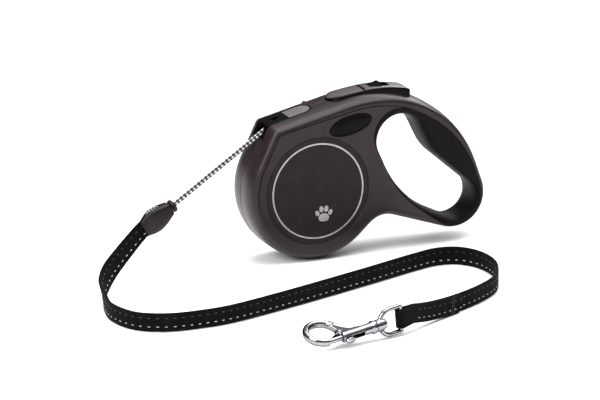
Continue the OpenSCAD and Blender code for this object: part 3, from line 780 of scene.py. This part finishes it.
def build_button():
    """Long button: a flat tongue in front, a raised block behind, satin on top and glossy at the sides."""
    front, nose_len, crown = 12.8, 8.2, 0.35
    pad_line, margin = 36.6, 1.1
    half_at = lambda x: BUTTON_HALF * (1 - (1 - min(1.0, max(0.0, (x - front) / nose_len))) ** 2) ** 0.5
    xs = np.unique(np.round(np.concatenate([front + nose_len * (1 - np.cos(np.linspace(0.02, pi / 2, 14))),
                                            np.linspace(front + nose_len, BUTTON_END, 52)]), 3))
    foot, top = smooth_curve(BUTTON_FOOT, 1.0), smooth_curve(BUTTON_TOP, 1.0)
    rings = []
    for x in xs:
        w, z0, z1 = half_at(x), height_on(foot, x), height_on(top, x)
        r = min(1.0, 0.45 * w, 0.45 * (z1 - z0))
        section = [(-w, z0), (-w, z0 + 0.5 * (z1 - z0))]
        section += [(-w + r - r * cos(t), z1 - r + r * sin(t)) for t in np.radians([0, 22, 45, 68, 90])]
        section += [(y, z1 + crown * (1 - (y / max(w, 0.1)) ** 2))
                    for y in [(r - w) * k for k in (0.94, 0.9, 0.6, 0.3)]]
        section += [(0, z1 + crown)] + [(-y, z) for y, z in reversed(section)]
        rings.append([(x, y, z) for y, z in section])
    body = loft("button_body", rings, sharp=40, weld=0)
    for material in (GLOSS, SATIN):
        body.data.materials.append(material)
    for face in body.data.polygons:
        x, y, _ = face.center / MM
        on_top = face.normal.z > 0.7 and abs(y) < half_at(x - 0.7) - margin
        face.material_index = int(on_top and x < BUTTON_END - 1.2 and abs(x - pad_line) > 0.7)
    boolean(body, [prism_y("slot", [(41.8, 59.5), (55.8, 59.0), (55.8, 66), (41.8, 66)], -4.15, 4.15)])
    smooth_by_angle(body, 34, True)
    finish_piece(body, "button", None, "gloss_black", "brake_button", "thumb_pad")


def build_slider():
    """Small wedge that locks the button, with a grip edge."""
    side = [(42.0, 59.6), (51.5, 59.3), (51.5, 60.9), (49.9, 62.8), (49.2, 63.0), (48.2, 62.5), (42.0, 60.9)]
    wedge = bevelled(prism_y("lock_wedge", side, -3.9, 3.9), 0.3, 3)
    finish_piece(smooth_by_angle(wedge, 40), "lock", GLOSS, "gloss_black", "lock_slider")


# =============================== cord and connector ===============================
def carried_frames(line, hint):
    """Two cross axes carried along a line with no twist."""
    t = np.gradient(line, axis=0)
    t /= np.linalg.norm(t, axis=1)[:, None]
    x = unit(np.asarray(hint, float) - t[0] * np.dot(hint, t[0]))
    out = []
    for d in t:
        x = unit(x - d * np.dot(x, d))
        out.append((x, np.cross(d, x)))
    return out


def braid(name, line, radius, pitch, strands, body, slot_name, hint=(0, 1, 0)):
    """Round braid: strands wind both ways round a core and pass over and under each other."""
    step = pitch / 26
    if len(line) > 2:
        line = smooth_curve(line, step)
    else:
        line = np.linspace(line[0], line[-1], ceil(np.linalg.norm(line[-1] - line[0]) / step))
    frames, run = carried_frames(line, hint), lengths(line)
    slope = atan2(tau * radius, pitch)
    thick, full, sides = radius * 0.17, pitch / strands * sin(slope), 6
    pieces = {"white": ([], []), "black": ([], [])}
    for way, colour, wide, lift in ((1, "white", full * 0.74, -0.03), (-1, "black", full * 1.14, 0.03)):
        for s in range(strands):
            verts, faces = pieces[colour]
            turn = way * tau * run / pitch + tau * s / strands
            weave = way * np.cos(strands * tau * run / pitch)
            centre_r = radius * (1 + lift) - thick * 1.2 + thick * 0.85 * weave
            rings = []
            for c, (fx, fy), t, r in zip(line, frames, turn, centre_r):
                out = fx * cos(t) + fy * sin(t)
                along = np.cross(fx, fy)
                lay = along * pitch + np.cross(along, out) * way * tau * radius
                side = unit(np.cross(lay, out)) * wide / 2
                rings.append([c + out * (r + thick * sin(q)) + side * cos(q) for q in around(sides)])
            first = sum(len(v) for v in verts)
            verts.append(np.array(rings).reshape(-1, 3))
            faces += quads(len(rings), sides, first)
    made = []
    for colour, material in (("white", WHITE_YARN), ("black", BLACK_YARN)):
        verts, faces = pieces[colour]
        obj = new_object(f"{name}_{colour}", np.vstack(verts), faces, sharp=0, weld=None)
        set_uv(obj, lambda i: (run[i // sides % len(line)], i % sides * 0.2))
        made.append(finish_piece(obj, body, material, slot_name))
    core = loft(name + "_core", [[c + 0.8 * radius * (x * cos(q) + y * sin(q)) for q in around(12)]
                                 for c, (x, y) in zip(line[::4], frames[::4])], sharp=0)
    return made + [finish_piece(core, body, BLACK_YARN, slot_name)]


def build_cord():
    end = BEAD + PULL * 1.9
    made = braid("cord_braid", np.array([MOUTH + PULL * 1.2, end]), CORD_R, 11.8, 4, "root", "braided_cord")
    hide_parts("cord_run")
    for piece in made:
        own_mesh(piece)


def on_leash(p, at):
    """Points of the leash's own frame, in the CAD frame."""
    return at + np.asarray(p, float) @ LEASH.T


def build_bead():
    """Dark stop bead with a waist round its middle."""
    rings, n = [], 48
    for t in np.linspace(0, tau, 33):
        r = 3.05 + 1.55 * cos(t) - 0.22 * np.exp(-(sin(t) / 0.25) ** 2) * (cos(t) > 0)
        rings.append(on_leash([(r * cos(q), r * sin(q), 1.5 * sin(t)) for q in around(n)], BEAD))
    bead = new_object("stop_ring", np.vstack(rings), quads(len(rings), n))
    finish_piece(bead, "leash", SOFT, "soft_black", "stop_bead")


def cap_width(t):
    return 3.6 + 4.4 * sin(radians(min(90, 20 + 115 * t))) ** 1.4 - 2.6 * (max(0, t - 0.55) / 0.45) ** 2


def cap_depth(t):
    return 3.1 + 1.7 * sin(radians(180 * min(1, t + 0.1))) - 0.5 * t


def cap_box(name, half, y0, y1, z0, z1):
    """A box in the connector's own frame."""
    return loft(name, [on_leash([(-half, y0, z), (half, y0, z), (half, y1, z), (-half, y1, z)], CAP_AT)
                       for z in (z0, z1)])


def cap_half(side):
    """Half of the connector: a shield with a crisp ridge along its upper edge and a slot in its side."""
    rings = []
    for t in np.concatenate([[0.0], np.linspace(0.008, 0.985, 40), [1.0]]):
        tight = 1.0 - 0.06 * ((t < 0.004) or (t > 0.99))
        w, d = cap_width(t) * tight, cap_depth(t) * tight
        ring = []
        for q in around(72):
            c, s = cos(q), sin(q)
            wide, deep = (0.42, 0.62) if c > 0 else (0.7, 0.8)
            ring.append((w * np.sign(c) * abs(c) ** wide, d * np.sign(s) * abs(s) ** deep, CAP_LEN * t))
        rings.append(on_leash(ring, CAP_AT))
    cap = loft("cap_near" if side < 0 else "cap_far", rings)
    boolean(cap, [cap_box("keep", 20, side * 0.05, side * 20, -1, CAP_LEN + 1)], "INTERSECT")
    slot_ring = [(1.9 * cos(q), 10.4 + 6.4 * np.sign(sin(q)) * abs(sin(q)) ** 0.8) for q in around(40)]
    window = loft("window", [on_leash([(x, y, z) for y, z in slot_ring], CAP_AT) for x in (-12, 12)])
    boolean(cap, [window, cap_box("room", 6.4, -1.15, 1.15, 9, 40),
                  cone("hole", CAP_AT - PULL, CAP_AT + PULL * 5, 1.75, 1.75)])
    smooth_by_angle(bevelled(cap, 0.25, 2, 50), 38)
    finish_piece(cap, "leash", SOFT, "soft_black", "connector_front" if side < 0 else "connector_back")


def build_loop():
    """The cord's end, looped round both edges of the webbing inside the connector."""
    for way, name in ((-1, "loop_lower"), (1, "loop_upper")):
        bends = [(0, 0, 1.4), (way * 0.6, 0, 4.6), (way * 4.6, 0, 6.0), (way * 7.0, 0, 8.4),
                 (way * 7.15, 0, 12), (way * 6.9, 0, 15.4)]
        made = braid(name, on_leash(bends, CAP_AT), 0.95, 7.6, 4, "leash", "braided_cord", (0, 0, 1))
        if way < 0:
            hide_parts("cord_loop")


# =============================== webbing ===============================
BAR_DIR = np.array([sin(HOOK_DIP) * cos(HOOK_YAW), sin(HOOK_DIP) * sin(HOOK_YAW), cos(HOOK_DIP)])
BELT_Z = FLOOR_Z + BELT_W / 2 + 0.02


def webbing_line(per_span=14):
    """(middles, across) along the webbing, round the swivel's bar and back."""
    control = [(BEAD + PULL * 13, CAP_ACROSS), (BEAD + PULL * 22, CAP_ACROSS),
               (BEAD + PULL * 27, unit(CAP_ACROSS + [0.02, 0, 0])),
               ((-135.4, -20, -25.6), (-0.56, 0.10, 0.82)), ((-148.4, -31, -32.6), (-0.52, 0.24, 0.82)),
               ((-158.2, -46, -37.6), (-0.3, 0.16, 0.94))]
    control += [((x, y, BELT_Z), (0, 0, 1)) for x, y in FLOOR_PATH]
    control += [((11.5, -162.5, BELT_Z + 1.6), (0, 0, 1)), ((-4, -171.6, BAR_AT[2]), BAR_DIR)]
    data = np.array([[*c, *w] for c, w in control], float)
    padded = np.vstack([data[0], data, data[-1]])
    t = np.arange(per_span)[:, None] / per_span
    rows = np.vstack([spline(*padded[i - 1:i + 3], t) for i in range(1, len(padded) - 2)] + [padded[-2:-1]])
    mid, across = rows[:, :3], rows[:, 3:]

    end_dir = unit([BAR_AT[0] - mid[-1][0], BAR_AT[1] - mid[-1][1], 0])
    out = unit(end_dir - BAR_DIR * np.dot(end_dir, BAR_DIR))
    side = np.cross(BAR_DIR, out)
    radius = BAR_R + 0.15 + BELT_T / 2
    turn = np.radians(np.linspace(-30, 180, 22))
    fold = [BAR_AT + radius * (out * sin(a) - side * cos(a)) for a in turn]
    back_n = int(9 / 4 * per_span)
    heading = np.gradient(mid, axis=0)
    back = [mid[i] + unit(np.cross(across[i], heading[i])) * FOLD_GAP
            for i in range(len(mid) - 1, len(mid) - 1 - back_n, -1)]
    line = np.vstack([mid, fold, back])
    over = np.vstack([across, np.tile(BAR_DIR, (len(fold), 1)), across[::-1][:back_n]])
    return line, over, len(mid)


def build_webbing():
    line, over, main = webbing_line()
    heading = np.gradient(line, axis=0)
    heading /= np.linalg.norm(heading, axis=1)[:, None]
    w = over - heading * np.sum(over * heading, axis=1)[:, None]
    w /= np.linalg.norm(w, axis=1)[:, None]
    n = np.cross(heading, w)
    half, thick, edge = BELT_W / 2, BELT_T / 2, 0.5
    section = [(-half, -0.25), (-half, 0.25), (-half + edge, thick)]
    section += [(u, thick) for u in np.linspace(-half + 1.4, half - 1.4, 6)]
    section += [(half - edge, thick), (half, 0.25), (half, -0.25), (half - edge, -thick)]
    section += [(u, -thick) for u in np.linspace(half - 1.4, -half + 1.4, 6)]
    section += [(-half + edge, -thick)]
    rings = [[c + a * u + b * v for u, v in section] for c, a, b in zip(line, w, n)]
    tape = loft("webbing_tape", rings, sharp=60, weld=None)
    run, v_of, k = lengths(line), np.array([p[0] for p in section]), len(section)
    set_uv(tape, lambda i: (run[i // k], v_of[i % k]))
    finish_piece(tape, "leash", WEBBING, "webbing", "webbing")
    return line, w, n, run, main


def dash(at, along, across, out, length, wide, high):
    """One raised stitch as a small lozenge with rounded ends: (points, faces)."""
    rings = []
    for t in np.linspace(-1, 1, 7):
        s = max(0.12, (1 - t ** 4)) ** 0.5
        rings += [at + along * t * length / 2 + across * cos(q) * wide / 2 * s + out * (sin(q) * high * s)
                  for q in around(8)]
    return rings, quads(7, 8) + [tuple(range(7, -1, -1)), tuple(range(48, 56))]


def stitches(name, spots, material, *nodes, length=1.7):
    verts, faces = [], []
    for spot in spots:
        v, f = dash(*spot, length, 0.42, 0.2)
        faces += [tuple(i + len(verts) for i in face) for face in f]
        verts += v
    obj = new_object(name, verts, faces, sharp=0, weld=None)
    set_uv(obj, lambda i: (i % 56 // 8 * length / 6, i % 8 * 0.2))
    finish_piece(obj, "leash", material, "thread", *nodes)


def build_stitching(line, w, n, run, main):
    """Light dashes along the lower edge, dark ones along the upper, and the seam that closes the fold."""
    pitch, inset = 5.3, 3.3
    rows = {-1: [], 1: []}
    start, end = run[0] + 12, run[main - 1] - 4
    back_start = end - 43.5
    on_top = BELT_T / 2 + 0.04

    def at_run(rows_of, s):
        return np.array([np.interp(s, run, rows_of[:, k]) for k in range(3)])

    for s in np.arange(start, end, pitch):
        t = unit(at_run(line, s + 0.5) - at_run(line, s - 0.5))
        across, out = unit(at_run(w, s)), unit(at_run(n, s))
        for edge in (-1, 1):
            for face in (-1, 1):
                doubled = face < 0 and s > back_start
                lift = on_top + (FOLD_GAP if doubled else 0.0)
                at = at_run(line, s) + across * edge * (BELT_W / 2 - inset) + out * face * lift
                rows[edge].append((at, t, across, out * face))
    stitches("edge_stitches", rows[-1], THREAD, "edge_stitching")
    stitches("edge_stitches_dark", rows[1], DARK_THREAD)
    seam = []
    for back in (40.5, 42.0):
        i = int(np.searchsorted(run, run[main - 1] - back))
        t = unit(line[i + 1] - line[i - 1])
        for k in np.linspace(-4.6, 4.6, 7):
            seam.append((line[i] + w[i] * k - n[i] * (BELT_T * 1.5 + 0.24), w[i], t, -n[i]))
    stitches("fold_stitches", seam, DARK_THREAD, "fold_seam", length=1.2)


# =============================== snap hook ===============================
def rotation(angle, axis):
    return np.array(Matrix.Rotation(angle, 3, axis))


HOOK = rotation(HOOK_YAW, "Z") @ rotation(HOOK_DIP, "Y")
HOOK_FLAT = HOOK @ rotation(pi - HOOK_TILT, "X")
RING_AT, RING_R = (52.0, 9.3), 9.75


def on_hook(p, frame_=HOOK_FLAT):
    return BAR_AT + np.asarray(p, float) @ frame_.T


def turned(name, profile, frame_=HOOK_FLAT):
    """A shape turned about the hook's axis from [x, r] points."""
    rings = [on_hook([(x, r * cos(q), r * sin(q)) for q in around(64)], frame_) for x, r in profile]
    return loft(name, rings, sharp=40)


def swept(name, centres, sizes, frame_=HOOK_FLAT, sides=28):
    """An oval section swept along a path in the hook's plane; sizes are [half width, half thickness]."""
    c = np.asarray(centres, float)
    t = np.gradient(c, axis=0)
    t /= np.hypot(t[:, 0], t[:, 1])[:, None]
    rings = [[(x - ty * a * cos(q), y + tx * a * cos(q), b * sin(q)) for q in around(sides)]
             for (x, y), (tx, ty), (a, b) in zip(c, t, sizes)]
    return loft(name, [on_hook(ring, frame_) for ring in rings])


def prism_hook(name, points, z0, z1):
    """An outline in the hook's plane, from z0 to z1 across it."""
    return loft(name, [on_hook([(x, y, z) for x, y in points]) for z in (z0, z1)])


def soften(obj, voxel, rounds):
    """Remeshes a piece and smooths it, so that its parts run into each other."""
    remesh = obj.modifiers.new("skin", "REMESH")
    remesh.mode, remesh.voxel_size = "VOXEL", voxel * MM
    soft = obj.modifiers.new("soft", "SMOOTH")
    soft.factor, soft.iterations = 0.5, rounds
    return bake(obj)


def build_hook():
    x0, y0 = RING_AT
    a = np.linspace(radians(165), radians(165 - 322), 72)
    ring = [(x0 + RING_R * cos(t), y0 + RING_R * sin(t)) for t in a]
    body = swept("hook_casting", ring, [(2.25, 2.7)] * len(ring))
    sweep = [(23, 1.2), (29, 2.4), (34.5, 5.0), (38.6, 9.4), (42.2, 14.4), (46.6, 17.9), (52, 19)]
    sweep = smooth_curve(sweep, 0.8)
    grown = mix(1.3, 2.1, np.linspace(0, 2, len(sweep)))
    web = swept("web", sweep, [(r, 1.12 * r) for r in grown])
    fill = [(26, -1), (26, 2.6), (34, 5), (39, 10.5), (41.5, 16), (45, 13), (43.4, 6), (43.4, -1)]
    inner = prism_hook("fill", fill, -1.9, 1.9)
    barrel = turned("barrel", [(18.9, 3.2), (19.2, 4.2), (21.6, 4.3), (22.2, 3.5), (42.6, 3.5), (43.5, 3.2)])
    soften(boolean(body, [web, inner, barrel], "UNION"), 0.22, 7)
    boolean(body, [turned("bore", [(24.5, 1.85), (56, 1.85)]),
                   prism_hook("slot", [(28.6, -8), (41.8, -8), (41.8, 0), (28.6, 0)], -1.5, 1.5),
                   prism_hook("gap", [(44.2, -8), (53.6, -8), (53.6, 2), (44.2, 2)], -6, 6)])
    soften(body, 0.2, 5)
    smooth_by_angle(body, 60)
    finish_piece(body, "hook", CHROME, "chrome", "hook_body")
    stem = turned("hook_stem", [(11.2, 2.3), (11.5, 3.0), (12.2, 3.2), (13.2, 3.1), (13.4, 2.0), (19.3, 2.0)])
    finish_piece(stem, "hook", CHROME, "chrome")

    bolt = turned("bolt_pin", [(38.4, 1.3), (38.8, 1.68), (54.4, 1.7), (55.0, 1.5), (55.3, 1.0)])
    finish_piece(bolt, "bolt", CHROME, "chrome", "hook_bolt")
    knob = [(1.55, 1.2), (3.2, 1.15), (3.7, 1.5), (4.2, 2.3), (4.9, 2.75), (5.5, 2.6), (5.9, 1.9), (6.0, 0.9)]
    rings = [on_hook([(40.1 + 1.25 * r * cos(q), -d, r * 0.8 * sin(q)) for q in around(40)]) for d, r in knob]
    thumb = loft("bolt_thumb", rings, sharp=45)
    finish_piece(thumb, "bolt", CHROME, "chrome", "bolt_knob")


def build_swivel():
    """D-shaped loop with a heavy rounded section and the boss that the hook's stem turns in."""
    half, knee = 8.2, 7.6
    bow = [(knee + half * 0.98 * cos(t), half * sin(t)) for t in np.linspace(-pi / 2, pi / 2, 36)]
    path = [(x, -half) for x in (0, 2.6, 5.2)] + bow + [(x, half) for x in (5.2, 2.6, 0)]
    frame_ = HOOK @ rotation(pi / 2, "X")
    loop = swept("swivel_loop", path, [(1.55, 1.75)] * len(path), frame_, 24)
    bar = loft("bar", [on_hook([(BAR_R * cos(q), BAR_R * sin(q), z) for q in around(40)], HOOK)
                       for z in (-8.6, 8.6)])
    boss = turned("boss", [(13.0, 3.2), (13.5, 4.0), (18.2, 4.0), (18.7, 3.5)], HOOK)
    soften(boolean(loop, [bar, boss], "UNION"), 0.22, 5)
    boolean(loop, [turned("bore", [(10, 2.15), (30, 2.15)], HOOK)])
    smooth_by_angle(loop, 45)
    finish_piece(loop, "swivel", CHROME, "chrome", "swivel_eye")


# =============================== carried-over CAD nodes ===============================
CARRIED = {
    "cord_eyelet": GLOSS, "case_screws": STEEL, "axle": STEEL, "spool": RESIN, "spool_cover": RESIN,
    "mainspring": SPRING, "wound_cord": CORD_WOUND, "inner_cord": CORD_WOUND, "button_pin": STEEL,
    "pawl": RESIN, "pawl_pin": STEEL, "pawl_spring": SPRING, "bolt_spring": SPRING,
}


def dress_carried():
    for name, material in CARRIED.items():
        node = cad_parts[name]
        if not node.material_slots:
            node.data.materials.append(material)
        for part in node.material_slots:
            part.link = "OBJECT"
            part.material = material


# =============================== stage ===============================
def area_light(name, at, aim, size, watts):
    data = bpy.data.lights.new(name, "AREA")
    data.shape, data.size, data.size_y, data.energy = "RECTANGLE", size, size, watts
    lamp = bpy.data.objects.new(name, data)
    lamp.location = at
    lamp.rotation_euler = (Vector(aim) - Vector(at)).to_track_quat("-Z", "Y").to_euler()
    bpy.context.scene.collection.objects.link(lamp)


def build_stage():
    half = 6.0 / MM
    floor = new_object("floor", [(-half, -half, 0), (half, -half, 0), (half, half, 0), (-half, half, 0)],
                       [(0, 1, 2, 3)], sharp=0)
    floor.location.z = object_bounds()[0][2] - 0.0002
    m = new_material("pale_floor")
    pale = m.blend(m.noise(60, 2), rgb(246, 246, 246), rgb(250, 250, 250))
    floor.data.materials.append(m.finish(Base_Color=pale, Roughness=0.9))

    # The camera sees plain white. The object sees a dim studio, dark near the horizon and pale overhead.
    world = bpy.data.worlds.new("studio")
    bpy.context.scene.world = world
    sky = Nodes(world, "Generated", "Background")
    height = sky.add("ShaderNodeSeparateXYZ", Vector=sky.place).outputs["Z"]
    shades = sky.add("ShaderNodeValToRGB", Fac=sky.ramp(height, -1, 1, 0, 1))
    stops = shades.color_ramp.elements
    levels = ((0.5, 0.05), (1.0, 0.6), (0.68, 0.12))
    for stop, (at, level) in zip((stops[0], stops[1], stops.new(0.68)), levels):
        stop.position, stop.color = at, (level, level, level, 1)
    seen = sky.add("ShaderNodeLightPath").outputs["Is Camera Ray"]
    sky.finish(Color=sky.blend(seen, shades.outputs["Color"], (1, 1, 1, 1)))

    area_light("key_left", (-0.95, -0.5, 0.7), (0, -0.03, 0), 0.7, 14)
    area_light("top", (0.1, -0.1, 1.1), (0, -0.05, 0), 1.2, 20)
    area_light("back_right", (0.8, 0.7, 0.7), (0.03, 0, 0), 0.8, 9)

    back = Vector((-0.37637, -0.88240, 0.28234))
    right, up = Vector((0.91982, -0.39234, 0)), Vector((0.11077, 0.25970, 0.95931))
    centre = right * -0.00472 + up * -0.01018
    distance, frame_width, sensor = 3.2, 0.384, 36.0
    data = bpy.data.cameras.new("camera")
    data.sensor_width, data.lens = sensor, sensor * distance / frame_width
    data.clip_start, data.clip_end = 0.1, 30
    camera = bpy.data.objects.new("camera", data)
    turn = Matrix((right, up, back)).transposed().to_4x4()
    camera.matrix_world = Matrix.Translation(centre + back * distance) @ turn
    bpy.context.scene.collection.objects.link(camera)
    bpy.context.scene.camera = camera
    bpy.context.scene.view_settings.view_transform = "Standard"


build_shells()
build_grip()
build_faces()
build_nose()
build_button()
build_slider()
build_cord()
build_bead()
for cap_side in (-1, 1):
    cap_half(cap_side)
build_loop()
build_stitching(*build_webbing())
build_hook()
build_swivel()
dress_carried()
build_stage()
